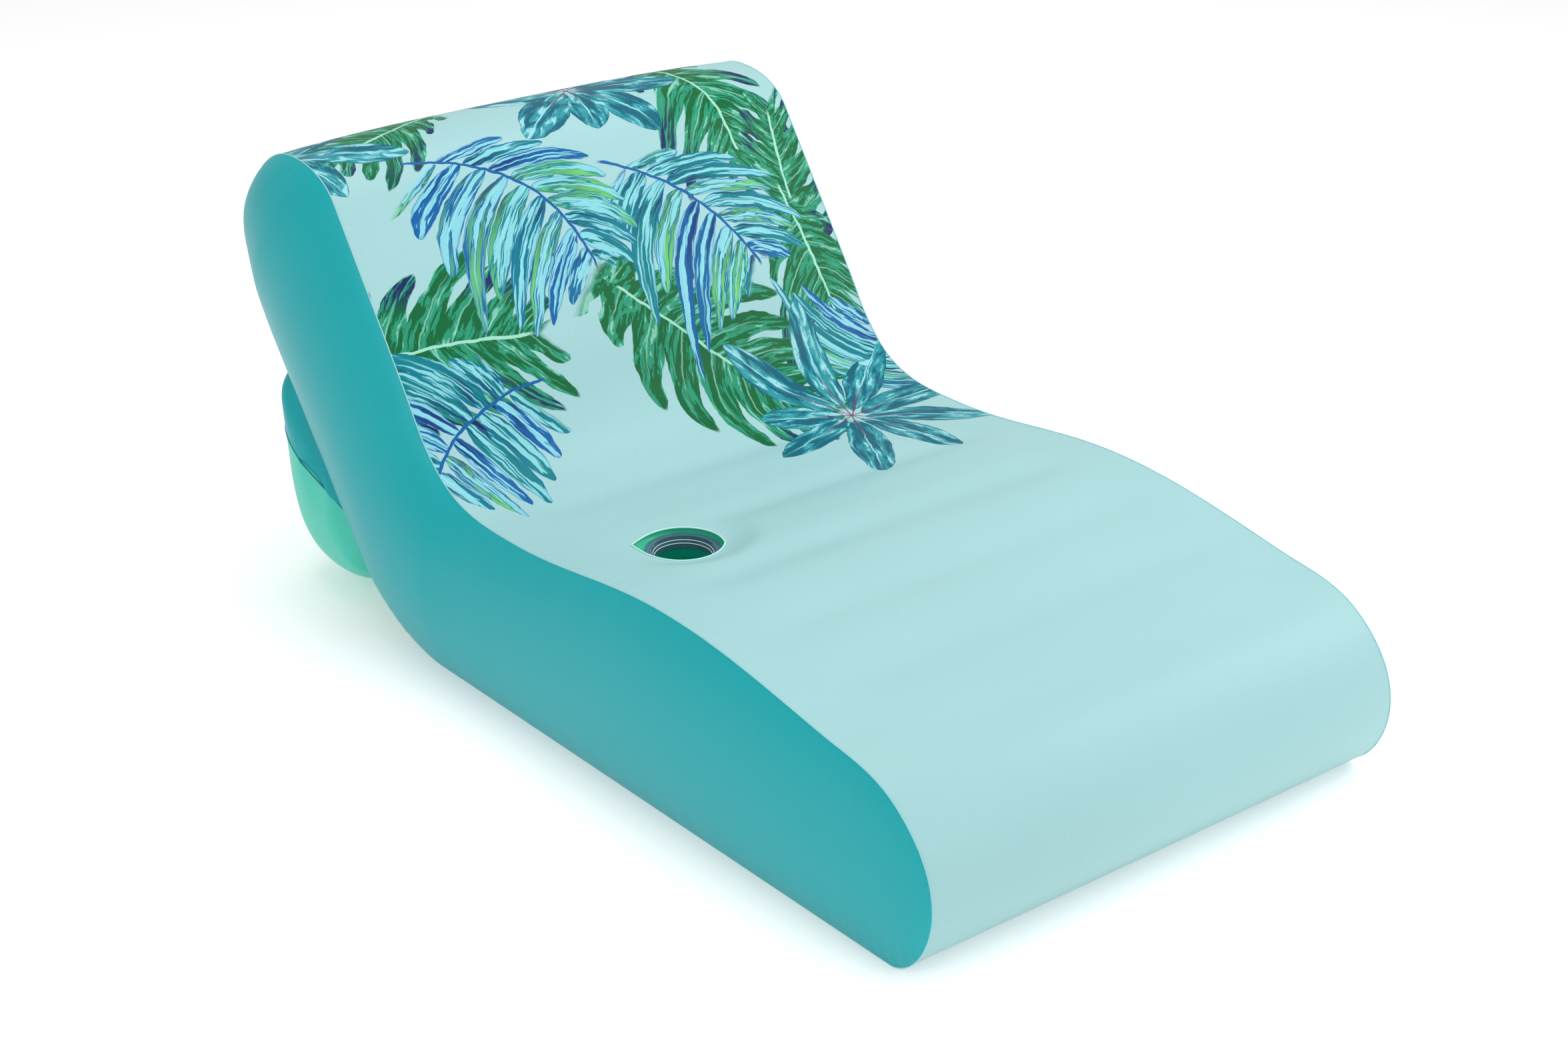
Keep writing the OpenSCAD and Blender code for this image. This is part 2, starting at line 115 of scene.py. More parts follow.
steps = outline["stepsPerSpan"]
topLine = curveThrough(outline["top"], steps)
bottomLine = curveThrough(outline["bottom"], steps)
stationCount = len(topLine) - 1
foldSteps = steps  # the top sheet runs round the nose to the first node of the underside
topPath = list(reversed(bottomLine[1:foldSteps + 1])) + topLine
topLengths = runningLength(topPath)
noseLength = topLengths[foldSteps]
topLengths = [s - noseLength for s in topLengths]  # measured from the nose point


def smooth(low, high, value):
    t = max(0.0, min(1.0, (value - low) / (high - low)))
    return t * t * (3 - 2 * t)


def bump(value, centre, width):
    return math.exp(-((value - centre) / width) ** 2)


# small helpers for meshes
def placePiece(name, data, body, material):
    data.polygons.foreach_set("use_smooth", [True] * len(data.polygons))
    data.materials.clear()
    data.materials.append(material)
    piece = bpy.data.objects.new(name, data)
    bpy.context.scene.collection.objects.link(piece)
    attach(piece, body)
    return piece


def flatGrid(across, along):
    # a grid over 0..1 by 0..1, with a UV layer ready to be filled
    mesh = bmesh.new()
    mesh.loops.layers.uv.new("sheetMap")
    bmesh.ops.create_grid(mesh, x_segments=across, y_segments=along, size=0.5)
    bmesh.ops.translate(mesh, verts=mesh.verts, vec=(0.5, 0.5, 0))
    return mesh


def mapGrid(mesh, place, flatPlace=None):
    # place(a, b) gives a point in space; flatPlace(a, b) gives where it lies on the flat sheet, in metres
    uvLayer = mesh.loops.layers.uv["sheetMap"]
    if flatPlace:
        for face in mesh.faces:
            for loop in face.loops:
                loop[uvLayer].uv = flatPlace(loop.vert.co.x, loop.vert.co.y)
    for vertex in mesh.verts:
        vertex.co = place(vertex.co.x, vertex.co.y)
    return mesh


def pointOutwards(mesh, middle):
    # turn an open sheet's faces away from a point inside it
    total = sum((f.calc_area() * f.normal.dot(f.calc_center_median() - middle)) for f in mesh.faces)
    if total < 0:
        bmesh.ops.reverse_faces(mesh, faces=mesh.faces)


def openPiece(name, mesh, body, material, middle):
    mesh.normal_update()
    pointOutwards(mesh, middle)
    data = bpy.data.meshes.new(name)
    mesh.to_mesh(data)
    mesh.free()
    return placePiece(name, data, body, material)


def tubeAlong(name, points, radius, body, material):
    # a round bead along a closed line
    line = bpy.data.curves.new(name, "CURVE")
    line.dimensions = "3D"
    line.bevel_depth = radius
    line.bevel_resolution = 3
    spline = line.splines.new("POLY")
    spline.points.add(len(points) - 1)
    for target, point in zip(spline.points, points):
        target.co = (*point, 1)
    spline.use_cyclic_u = True
    holder = bpy.data.objects.new(name + "Line", line)
    bpy.context.scene.collection.objects.link(holder)
    bpy.context.view_layer.update()
    data = bpy.data.meshes.new_from_object(holder.evaluated_get(bpy.context.evaluated_depsgraph_get()))
    data.name = name
    bpy.data.objects.remove(holder)
    return placePiece(name, data, body, material)


# node helpers
def newGroup(name, inputs, outputs):
    group = bpy.data.node_groups.new(name, "ShaderNodeTree")
    for label, kind, value in inputs:
        socket = group.interface.new_socket(label, in_out="INPUT", socket_type=kind)
        if value is not None:
            socket.default_value = value
    for label, kind in outputs:
        group.interface.new_socket(label, in_out="OUTPUT", socket_type=kind)
    return group, group.nodes.new("NodeGroupInput"), group.nodes.new("NodeGroupOutput")


class Wires:
    # short forms for the nodes that the patterns are drawn with
    def __init__(self, tree):
        self.tree = tree

    def feed(self, socket, value):
        if isinstance(value, bpy.types.NodeSocket):
            self.tree.links.new(value, socket)
        elif value is not None:
            socket.default_value = value

    def math(self, operation, *values):
        node = self.tree.nodes.new("ShaderNodeMath")
        node.operation = operation
        for socket, value in zip(node.inputs, values):
            self.feed(socket, value)
        return node.outputs[0]

    def times(self, a, b):
        return self.math("MULTIPLY", a, b)

    def minus(self, a, b):
        return self.math("SUBTRACT", a, b)

    def vector(self, operation, *values):
        node = self.tree.nodes.new("ShaderNodeVectorMath")
        node.operation = operation
        for socket, value in zip(node.inputs, values):
            self.feed(socket, value)
        return node.outputs[0]

    def ramp(self, value, fromLow, fromHigh, toLow=0.0, toHigh=1.0):
        node = self.tree.nodes.new("ShaderNodeMapRange")
        node.interpolation_type = "SMOOTHSTEP"
        for name, given in (("Value", value), ("From Min", fromLow), ("From Max", fromHigh),
                            ("To Min", toLow), ("To Max", toHigh)):
            self.feed(node.inputs[name], given)
        return node.outputs["Result"]

    def mix(self, share, a, b):
        node = self.tree.nodes.new("ShaderNodeMix")
        node.data_type = "RGBA"
        self.feed(node.inputs[0], share)
        self.feed(node.inputs[6], a)
        self.feed(node.inputs[7], b)
        return node.outputs[2]

    def split(self, vector):
        node = self.tree.nodes.new("ShaderNodeSeparateXYZ")
        self.feed(node.inputs[0], vector)
        return node.outputs[0], node.outputs[1]

    def join(self, x, y, z):
        node = self.tree.nodes.new("ShaderNodeCombineXYZ")
        for socket, value in zip(node.inputs, (x, y, z)):
            self.feed(socket, value)
        return node.outputs[0]

    def noise(self, vector, scale, detail, rough, distortion=0.0):
        node = self.tree.nodes.new("ShaderNodeTexNoise")
        self.feed(node.inputs["Vector"], vector)
        settings = {"Scale": scale, "Detail": detail, "Roughness": rough, "Distortion": distortion}
        for name, value in settings.items():
            self.feed(node.inputs[name], value)
        return node.outputs["Fac"], node.outputs["Color"]

    def group(self, tree, **values):
        node = self.tree.nodes.new("ShaderNodeGroup")
        node.node_tree = tree
        for name, value in values.items():
            self.feed(node.inputs[name.replace("_", " ")], value)
        return node


def srgb(red, green, blue):
    def linear(value):
        value /= 255
        return value / 12.92 if value <= 0.04045 else ((value + 0.055) / 1.055) ** 2.4
    return (linear(red), linear(green), linear(blue), 1.0)


# vinyl
def makeVinylSurface():
    # fine calendered grain, slow patches in the gloss, and faint stretch lines
    group, given, out = newGroup("vinylSurface", [
        ("Colour", "NodeSocketColor", (1, 1, 1, 1)), ("Vector", "NodeSocketVector", None),
        ("Shade Amount", "NodeSocketFloat", 0.05), ("Grain Scale", "NodeSocketFloat", 900.0),
        ("Gloss", "NodeSocketFloat", 0.4),
    ], [("Colour", "NodeSocketColor"), ("Roughness", "NodeSocketFloat"), ("Height", "NodeSocketFloat")])
    w = Wires(group)
    place = given.outputs["Vector"]
    patches = w.noise(place, 2.6, 3.0, 0.5)[0]
    grain = w.noise(place, given.outputs["Grain Scale"], 2.0, 0.6)[0]
    weave = w.noise(place, 260.0, 1.0, 0.4)[0]
    shade = w.math("MULTIPLY_ADD", w.minus(patches, 0.5), given.outputs["Shade Amount"], 1.0)
    fine = w.times(given.outputs["Shade Amount"], 0.9)
    speck = w.math("MULTIPLY_ADD", w.minus(weave, 0.5), fine, shade)
    scaled = w.vector("MULTIPLY", given.outputs["Colour"], w.join(speck, speck, speck))
    group.links.new(scaled, out.inputs["Colour"])
    rough = w.math("MULTIPLY_ADD", w.minus(patches, 0.5), 0.10, given.outputs["Gloss"])
    group.links.new(rough, out.inputs["Roughness"])
    height = w.math("MULTIPLY_ADD", grain, 0.5, w.times(weave, 0.5))
    group.links.new(height, out.inputs["Height"])
    return group


vinylSurface = makeVinylSurface()


def startMaterial(name):
    material = bpy.data.materials.new(name)
    material.use_nodes = True
    tree = material.node_tree
    shader = tree.nodes["Principled BSDF"]
    return material, tree, shader, Wires(tree)


def finishVinyl(tree, shader, w, colour, settings, place):
    surface = w.group(vinylSurface, Colour=colour, Vector=place, Shade_Amount=settings["shade"],
                      Grain_Scale=settings["grain"], Gloss=settings["rough"])
    tree.links.new(surface.outputs["Colour"], shader.inputs["Base Color"])
    tree.links.new(surface.outputs["Roughness"], shader.inputs["Roughness"])
    dent = tree.nodes.new("ShaderNodeBump")
    dent.inputs["Strength"].default_value = settings["bump"]
    dent.inputs["Distance"].default_value = 0.0004
    tree.links.new(surface.outputs["Height"], dent.inputs["Height"])
    tree.links.new(dent.outputs["Normal"], shader.inputs["Normal"])
    shader.inputs["Specular IOR Level"].default_value = settings["specular"]
    shader.inputs["Coat Weight"].default_value = settings["coat"]
    shader.inputs["Coat Roughness"].default_value = settings["coatRough"]


vinylFinish = {"shade": 0.07, "grain": 900.0, "rough": 0.40, "bump": 0.12, "specular": 0.28,
               "coat": 0.04, "coatRough": 0.30}
vinylColours = {
    "mint": srgb(150, 191, 193),
    "teal": srgb(6, 156, 162),
    "green": srgb(70, 180, 165),
    "bolster": srgb(72, 196, 174),
    "seam": srgb(132, 194, 198),
    "tealSeam": srgb(20, 128, 140),
}


def plainVinyl(name, colour, **changes):
    material, tree, shader, w = startMaterial(name)
    place = tree.nodes.new("ShaderNodeTexCoord").outputs["Object"]
    finishVinyl(tree, shader, w, colour, {**vinylFinish, **changes}, place)
    return material


mintVinyl = plainVinyl("mintVinyl", vinylColours["mint"])
tealVinyl = plainVinyl("tealVinyl", vinylColours["teal"])
greenVinyl = plainVinyl("greenVinyl", vinylColours["green"])
seamVinyl = plainVinyl("seamVinyl", vinylColours["seam"], rough=0.35)
tealSeamVinyl = plainVinyl("tealSeamVinyl", vinylColours["tealSeam"], rough=0.35)
wellVinyl = plainVinyl("wellVinyl", srgb(14, 164, 138), rough=0.30)
print("plain vinyls made")


# leaf print
def startLeaf(name, extra):
    group, given, out = newGroup(name, [
        ("Under", "NodeSocketColor", (1, 1, 1, 1)), ("Vector", "NodeSocketVector", None),
        ("Base", "NodeSocketVector", None), ("Turn", "NodeSocketFloat", 0.0),
        ("Length", "NodeSocketFloat", 0.3), ("Width", "NodeSocketFloat", 0.2),
        ("Seed", "NodeSocketFloat", 0.0),
    ] + extra, [("Colour", "NodeSocketColor")])
    w = Wires(group)
    moved = w.vector("SUBTRACT", given.outputs["Vector"], given.outputs["Base"])
    turned = group.nodes.new("ShaderNodeVectorRotate")
    turned.rotation_type = "Z_AXIS"
    group.links.new(moved, turned.inputs["Vector"])
    group.links.new(w.times(given.outputs["Turn"], -1.0), turned.inputs["Angle"])
    along, across = w.split(turned.outputs[0])
    return group, given.outputs, out, w, along, across


def randomOf(w, value):
    node = w.tree.nodes.new("ShaderNodeTexWhiteNoise")
    node.noise_dimensions = "1D"
    w.feed(node.inputs["W"], value)
    parts = w.tree.nodes.new("ShaderNodeSeparateColor")
    w.tree.links.new(node.outputs["Color"], parts.inputs[0])
    return parts.outputs


def fingersBeside(w, given, along, across, offset):
    # the fingers on both sides of a rib: which one, how far across it and how far out from the rib
    arch = w.times(along, w.minus(given["Length"], along))
    onRib = w.minus(across, w.times(given["Bend"], arch))
    side = w.math("SIGN", onRib)
    reach = w.math("ABSOLUTE", onRib)
    lean = w.math("MULTIPLY_ADD", w.math("DIVIDE", along, given["Length"]), given["Fan"], given["Lean"])
    lean = w.math("MULTIPLY_ADD", side, given["Droop"], lean)
    root = w.minus(along, w.times(reach, lean))
    root = w.minus(root, w.times(given["Curl"], w.times(reach, reach)))
    place = w.math("ADD", w.math("DIVIDE", root, given["Spacing"]), w.times(side, offset))
    index = w.math("FLOOR", place)
    cross = w.minus(w.math("FRACT", place), 0.5)
    key = w.math("ADD", w.math("ADD", index, w.times(side, 31.7)), given["Seed"])
    lots = randomOf(w, key)
    share = w.math("DIVIDE", root, given["Length"])
    return side, reach, cross, key, lots, share


def ribSockets(spacing, lean, fan, droop, curl):
    values = {"Spacing": spacing, "Lean": lean, "Fan": fan, "Droop": droop, "Curl": curl, "Bend": 0.0}
    return [(name, "NodeSocketFloat", value) for name, value in values.items()]


def makePalmFrond():
    group, given, out, w, along, across = startLeaf("palmFrond", [
        *ribSockets(0.036, 0.2, 0.5, 0.3, 0.5), ("Uneven", "NodeSocketFloat", 0.0),
        ("Deep", "NodeSocketColor", (0, 0, 1, 1)), ("Fresh", "NodeSocketColor", (0, 1, 1, 1)),
        ("Pale", "NodeSocketColor", (1, 1, 1, 1)), ("Accent", "NodeSocketColor", (0, 1, 0, 1)),
        ("Dark", "NodeSocketColor", (0, 0, 0.2, 1)),
    ])
    side, reach, cross, key, lots, share = fingersBeside(w, given, along, across, 0.31)
    rise = w.ramp(share, -0.12, 0.22, 0.55, 1.0)
    fall = w.ramp(share, 0.45, 1.06, 1.0, 0.16)
    size = w.times(given["Width"], w.times(rise, fall))
    size = w.times(size, w.minus(1.0, w.times(side, given["Uneven"])))
    size = w.times(size, w.math("MULTIPLY_ADD", lots[0], 0.36, 0.78))
    q = w.math("DIVIDE", reach, size)
    opening = w.math("POWER", w.math("MAXIMUM", q, 0.0001), 0.38)
    shut = w.math("POWER", w.math("MAXIMUM", w.minus(1.0, q), 0.0), 0.50)
    half = w.times(w.times(opening, shut), w.math("MULTIPLY_ADD", lots[1], 0.22, 0.86))
    edge = w.minus(half, w.math("ABSOLUTE", cross))
    mask = w.ramp(edge, 0.0, 0.035)
    mask = w.times(mask, w.ramp(share, -0.16, -0.12))
    mask = w.times(mask, w.ramp(share, 0.94, 0.88))
    # paint runs along each finger in long strokes
    stroke = w.math("MULTIPLY_ADD", q, 1.1, w.times(key, 3.7))
    streak = w.noise(w.join(stroke, w.times(cross, 3.4), key), 1.6, 2.0, 0.55, 0.5)[0]
    colour = w.mix(w.ramp(lots[1], 0.25, 0.75), given["Deep"], given["Fresh"])
    colour = w.mix(w.times(w.ramp(streak, 0.515, 0.545), 0.85), colour, given["Pale"])
    accent = w.times(w.ramp(lots[2], 0.66, 0.70), w.ramp(streak, 0.50, 0.42))
    colour = w.mix(accent, colour, given["Accent"])
    darkSide = w.times(w.ramp(streak, 0.45, 0.39), w.ramp(q, 0.75, 0.15))
    colour = w.mix(w.times(darkSide, 0.8), colour, given["Dark"])
    rim = w.ramp(edge, 0.13, 0.02)
    colour = w.mix(w.times(rim, 0.55), colour, given["Deep"])
    vein = w.times(w.ramp(w.math("ABSOLUTE", cross), 0.055, 0.02), w.ramp(q, 0.95, 0.6))
    colour = w.mix(w.times(vein, 0.7), colour, given["Pale"])
    laid = w.mix(mask, given["Under"], colour)
    rib = w.times(w.ramp(reach, 0.0034, 0.0022), w.ramp(along, -0.09, -0.08))
    rib = w.times(rib, w.ramp(w.math("DIVIDE", along, given["Length"]), 0.98, 0.94))
    laid = w.mix(rib, laid, given["Deep"])
    group.links.new(laid, out.inputs["Colour"])
    return group


def makeSplitLeaf():
    group, given, out, w, along, across = startLeaf("splitLeaf", [
        *ribSockets(0.045, 0.8, 0.3, 0.0, 0.0), ("Slit", "NodeSocketFloat", 0.32),
        ("Deep", "NodeSocketColor", (0, 0.3, 0, 1)), ("Fresh", "NodeSocketColor", (0, 1, 0, 1)),
        ("Pale", "NodeSocketColor", (1, 1, 1, 1)), ("Tip", "NodeSocketColor", (0, 0, 0.3, 1)),
    ])
    _, reach, cross, key, lots, share = fingersBeside(w, given, along, across, 0.17)
    rise = w.ramp(share, -0.35, 0.12, 0.45, 1.0)
    fall = w.ramp(share, 0.30, 1.0, 1.0, 0.34)
    size = w.times(given["Width"], w.times(rise, fall))
    size = w.times(size, w.math("MULTIPLY_ADD", lots[0], 0.42, 0.74))
    q = w.math("DIVIDE", reach, size)
    sideways = w.math("ABSOLUTE", cross)
    gap = w.ramp(w.minus(q, given["Slit"]), -0.02, 0.35, -0.05, 0.15)
    gap = w.minus(gap, w.times(w.ramp(q, 0.60, 0.90), 0.06))
    flank = w.minus(w.minus(0.5, gap), sideways)
    roundEnd = w.math("POWER", w.times(sideways, 2.3), 2.4)
    end = w.minus(w.minus(1.0, q), w.times(roundEnd, 0.30))
    edge = w.math("MINIMUM", flank, end)
    mask = w.ramp(edge, 0.0, 0.035)
    mask = w.times(mask, w.ramp(share, -0.42, -0.36))
    mask = w.times(mask, w.ramp(share, 1.02, 0.97))
    stroke = w.math("MULTIPLY_ADD", q, 1.2, w.times(key, 2.9))
    streak = w.noise(w.join(stroke, w.times(cross, 2.6), key), 2.1, 3.0, 0.6, 0.6)[0]
    colour = w.mix(w.ramp(streak, 0.485, 0.515), given["Deep"], given["Fresh"])
    colour = w.mix(w.times(w.ramp(streak, 0.61, 0.64), 0.6), colour, given["Pale"])
    tip = w.times(w.ramp(q, 0.45, 0.85), w.ramp(lots[1], 0.50, 0.62))
    tip = w.times(tip, w.ramp(streak, 0.56, 0.46))
    colour = w.mix(tip, colour, given["Tip"])
    vein = w.times(w.ramp(sideways, 0.035, 0.012), w.ramp(q, 0.9, 0.3))
    colour = w.mix(w.times(vein, 0.5), colour, given["Pale"])
    laid = w.mix(mask, given["Under"], colour)
    rib = w.times(w.ramp(reach, 0.0032, 0.0020), w.ramp(along, -0.10, -0.09))
    rib = w.times(rib, w.ramp(w.math("DIVIDE", along, given["Length"]), 1.0, 0.9))
    laid = w.mix(rib, laid, given["Pale"])
    group.links.new(laid, out.inputs["Colour"])
    return group


def makeUmbrellaLeaf():
    group, given, out, w, along, across = startLeaf("umbrellaLeaf", [
        ("Fingers", "NodeSocketFloat", 7.0),
        ("Deep", "NodeSocketColor", (0, 0.3, 0.3, 1)), ("Fresh", "NodeSocketColor", (0, 1, 1, 1)),
        ("Pale", "NodeSocketColor", (1, 1, 1, 1)), ("Stalk", "NodeSocketColor", (0.3, 0, 0.2, 1)),
    ])
    square = w.math("MULTIPLY_ADD", along, along, w.times(across, across))
    away = w.math("SQRT", square)
    angle = w.math("ARCTAN2", across, along)
    sector = w.math("DIVIDE", 2 * math.pi, given["Fingers"])
    place = w.math("DIVIDE", angle, sector)
    index = w.math("FLOOR", place)
    key = w.math("ADD", index, given["Seed"])
    lots = randomOf(w, key)
    off = w.times(w.minus(w.math("FRACT", place), 0.5), sector)
    sideways = w.times(away, w.math("SINE", off))
    outwards = w.times(away, w.math("COSINE", off))
    size = w.times(given["Length"], w.math("MULTIPLY_ADD", lots[0], 0.45, 0.62))
    q = w.math("DIVIDE", outwards, size)
    opening = w.math("POWER", w.math("MAXIMUM", w.minus(q, 0.08), 0.0001), 0.75)
    shut = w.math("POWER", w.math("MAXIMUM", w.minus(1.0, q), 0.0), 0.70)
    half = w.times(w.times(opening, shut), w.times(given["Width"], 2.5))
    edge = w.minus(half, w.math("ABSOLUTE", sideways))
    mask = w.ramp(edge, 0.0, 0.0016)
    stroke = w.math("MULTIPLY_ADD", q, 2.0, key)
    streak = w.noise(w.join(stroke, w.times(sideways, 38.0), key), 1.7, 3.0, 0.6, 0.5)[0]
    colour = w.mix(w.ramp(streak, 0.42, 0.55), given["Deep"], given["Fresh"])
    colour = w.mix(w.times(w.ramp(streak, 0.55, 0.63), 0.85), colour, given["Pale"])
    dots = w.noise(given["Vector"], 230.0, 1.0, 0.5)[0]
    spots = w.times(w.ramp(dots, 0.66, 0.70), w.ramp(streak, 0.40, 0.52))
    colour = w.mix(w.times(spots, 0.75), colour, given["Deep"])
    rim = w.ramp(edge, 0.0042, 0.0012)
    colour = w.mix(w.times(rim, 0.65), colour, given["Deep"])
    vein = w.times(w.ramp(w.math("ABSOLUTE", sideways), 0.0017, 0.0008), w.ramp(q, 0.95, 0.7))
    colour = w.mix(vein, colour, w.mix(w.ramp(q, 0.25, 0.55), given["Stalk"], given["Pale"]))
    laid = w.mix(mask, given["Under"], colour)
    stalk = w.times(w.ramp(w.math("ABSOLUTE", sideways), 0.0016, 0.0008), w.ramp(q, 0.25, 0.2))
    laid = w.mix(stalk, laid, given["Stalk"])
    group.links.new(laid, out.inputs["Colour"])
    return group


palmFrond = makePalmFrond()
splitLeaf = makeSplitLeaf()
umbrellaLeaf = makeUmbrellaLeaf()

paints = {
    "teal": srgb(0, 116, 126), "blue": srgb(4, 88, 148), "sky": srgb(134, 204, 212),
    "lime": srgb(98, 185, 98), "navy": srgb(20, 32, 88), "green": srgb(2, 92, 48),
    "seaGreen": srgb(34, 136, 104), "paleGreen": srgb(146, 204, 184), "slate": srgb(8, 88, 108),
    "lagoon": srgb(42, 142, 152), "ice": srgb(150, 208, 214), "plum": srgb(112, 52, 92),
}
# leaves from the lowest layer up: kind, base and tip (metres across the sheet and up it), settings
leafLayout = [
    ("split", (0.300, 1.950), (0.330, 1.710),
     {"width": 0.150, "seed": 3, "spacing": 0.062, "bend": 0.3}),
    ("split", (-0.255, 1.945), (-0.450, 1.880),
     {"width": 0.110, "seed": 8, "spacing": 0.046, "bend": 0.3}),
    ("split", (-0.510, 1.525), (-0.200, 1.497),
     {"width": 0.175, "seed": 5, "spacing": 0.062, "bend": 0.3}),
    ("split", (0.400, 1.560), (0.430, 1.800),
     {"width": 0.115, "seed": 12, "spacing": 0.052, "bend": 0.3}),
    ("split", (0.400, 1.555), (0.410, 1.385),
     {"width": 0.150, "seed": 15, "spacing": 0.050, "bend": 0.3}),
    ("split", (0.045, 1.473), (0.275, 1.190),
     {"width": 0.185, "seed": 21, "spacing": 0.066, "bend": 0.2}),
    ("umbrella", (-0.505, 1.935), (-0.350, 1.787), {"width": 0.040, "seed": 2, "fingers": 8}),
    ("umbrella", (0.085, 1.945), (-0.028, 1.770), {"width": 0.050, "seed": 4, "fingers": 8}),
    ("palm", (0.500, 1.180), (0.480, 1.400),
     {"width": 0.180, "seed": 31, "spacing": 0.036, "lean": 0.2, "fan": 0.4, "droop": 0.2, "bend": 0.6}),
    ("palm", (-0.318, 1.410), (-0.497, 1.285),
     {"width": 0.200, "seed": 40, "spacing": 0.035, "lean": -0.12, "fan": 0.35, "droop": 0.0, "bend": -1.7}),
    ("palm", (0.120, 1.723), (0.289, 1.509),
     {"width": 0.205, "seed": 50, "spacing": 0.037, "lean": 0.25, "fan": 0.35, "droop": 0.32, "bend": 1.4,
      "uneven": 0.22}),
    ("palm", (-0.224, 1.809), (-0.044, 1.570),
     {"width": 0.215, "seed": 60, "spacing": 0.038, "lean": 0.22, "fan": 0.35, "droop": 0.38, "bend": 2.2,
      "uneven": 0.24}),
    ("umbrella", (0.288, 1.167), (0.080, 0.985), {"width": 0.044, "seed": 6, "fingers": 9}),
]


def layLeaf(w, under, place, leaf):
    kind, base, tip, extra = leaf
    reach = Vector(tip) - Vector(base)
    shared = dict(Under=under, Vector=place, Base=(*base, 0.0), Turn=math.atan2(reach.y, reach.x),
                  Length=reach.length, Width=extra["width"], Seed=float(extra["seed"]))
    if kind == "palm":
        node = w.group(palmFrond, **shared, Spacing=extra["spacing"], Bend=extra["bend"], Lean=extra["lean"],
                       Fan=extra["fan"], Droop=extra["droop"], Uneven=extra.get("uneven", 0.0), Curl=1.3,
                       Deep=paints["blue"], Fresh=paints["teal"], Pale=paints["sky"], Accent=paints["lime"],
                       Dark=paints["navy"])
    elif kind == "split":
        node = w.group(splitLeaf, **shared, Spacing=extra["spacing"], Bend=extra["bend"], Lean=0.30, Fan=0.7,
                       Curl=0.8, Slit=0.30, Deep=paints["green"], Fresh=paints["seaGreen"],
                       Pale=paints["paleGreen"], Tip=paints["navy"])
    else:
        node = w.group(umbrellaLeaf, **shared, Fingers=float(extra["fingers"]), Deep=paints["slate"],
                       Fresh=paints["lagoon"], Pale=paints["ice"], Stalk=paints["plum"])
    return node.outputs["Colour"]


# wobble and its scale are in metres and per metre; the nudge is too small to see
printFinish = {"wobble": 0.012, "wobbleScale": 22.0, "nudge": 0.000001, "specular": 0.14}


def makePrintedVinyl():
    material, tree, shader, w = startMaterial("printedVinyl")
    flat = tree.nodes.new("ShaderNodeUVMap")
    flat.uv_map = "sheetMap"
    # the hand's unsteady line: places are shifted a few millimetres either way
    reach = printFinish["wobble"]
    unsteady = w.noise(flat.outputs[0], printFinish["wobbleScale"], 2.0, 0.6)[1]
    shifted = w.vector("MULTIPLY_ADD", unsteady, (reach, reach, 0.0), flat.outputs[0])
    shifted = w.vector("SUBTRACT", shifted, (reach / 2, reach / 2, 0.0))
    colour, where = vinylColours["mint"], shifted
    for leaf in leafLayout:
        colour = layLeaf(w, colour, where, leaf)
        # each leaf waits for the one under it, so that few values are held at a time
        where = w.vector("MULTIPLY_ADD", colour, (printFinish["nudge"], printFinish["nudge"], 0.0), shifted)
    place = tree.nodes.new("ShaderNodeTexCoord").outputs["Object"]
    settings = {**vinylFinish, "specular": printFinish["specular"], "coat": 0.0}
    finishVinyl(tree, shader, w, colour, settings, place)
    return material


printedVinyl = makePrintedVinyl()
print("leaf print laid out with", len(leafLayout), "leaves")


# top sheet
topSheet = {
    "across": 96, "along": 320, "crowding": 0.35,
    "crown": [(-0.15, 0.0), (-0.09, 0.001), (0.0, 0.014), (0.20, 0.014), (0.60, 0.010), (1.00, 0.008),
              (1.25, 0.007), (1.50, 0.013), (1.80, 0.014), (2.00, 0.012), (2.15, 0.003), (2.25, 0.0)],
    "crownPower": 3.2,
    "webs": [-0.744, -0.582, -0.425, -0.250, -0.041, 0.168],
    "webDip": 0.0075, "webWidth": 0.040, "webFade": (0.05, 0.17),
    "pucker": 0.0011, "puckerReach": 0.024, "puckerLength": 0.024,
}


def table(pairs, value):
    if value <= pairs[0][0]:
        return pairs[0][1]
    for a, b in zip(pairs[:-1], pairs[1:]):
        if value <= b[0]:
            return a[1] + (b[1] - a[1]) * smooth(a[0], b[0], value)
    return pairs[-1][1]


def lengthAtY(y):
    for t in range(foldSteps, len(topPath)):
        if topPath[t].x >= y:
            share = (y - topPath[t - 1].x) / (topPath[t].x - topPath[t - 1].x)
            return topLengths[t - 1] + share * (topLengths[t] - topLengths[t - 1])


webLengths = [lengthAtY(y) for y in topSheet["webs"]]
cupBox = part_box("drink_ring")
cup = {
    "x": (cupBox[0].x + cupBox[1].x) / 2, "y": (cupBox[0].y + cupBox[1].y) / 2,
    "ringZ": cupBox[1].z - 0.0015, "holeR": 0.0625, "point": 0.019, "pointTurn": 2.50, "pointSpread": 0.42,
    "farPoint": 0.004, "shelfR": 0.0612, "wellR": 0.0525, "rise": 0.009,
    "levelReach": 0.070, "fineReach": 0.125,
}
cup["s"] = lengthAtY(cup["y"])


def cupEdge(angle):
    # nearly round, drawn out to a point towards the float's side and slightly on the other side
    turn = abs(math.atan2(math.sin(angle - cup["pointTurn"]), math.cos(angle - cup["pointTurn"])))
    return (cup["holeR"] + cup["point"] * math.exp(-turn / cup["pointSpread"])
            + cup["farPoint"] * math.exp(-(math.pi - turn) / cup["pointSpread"]))


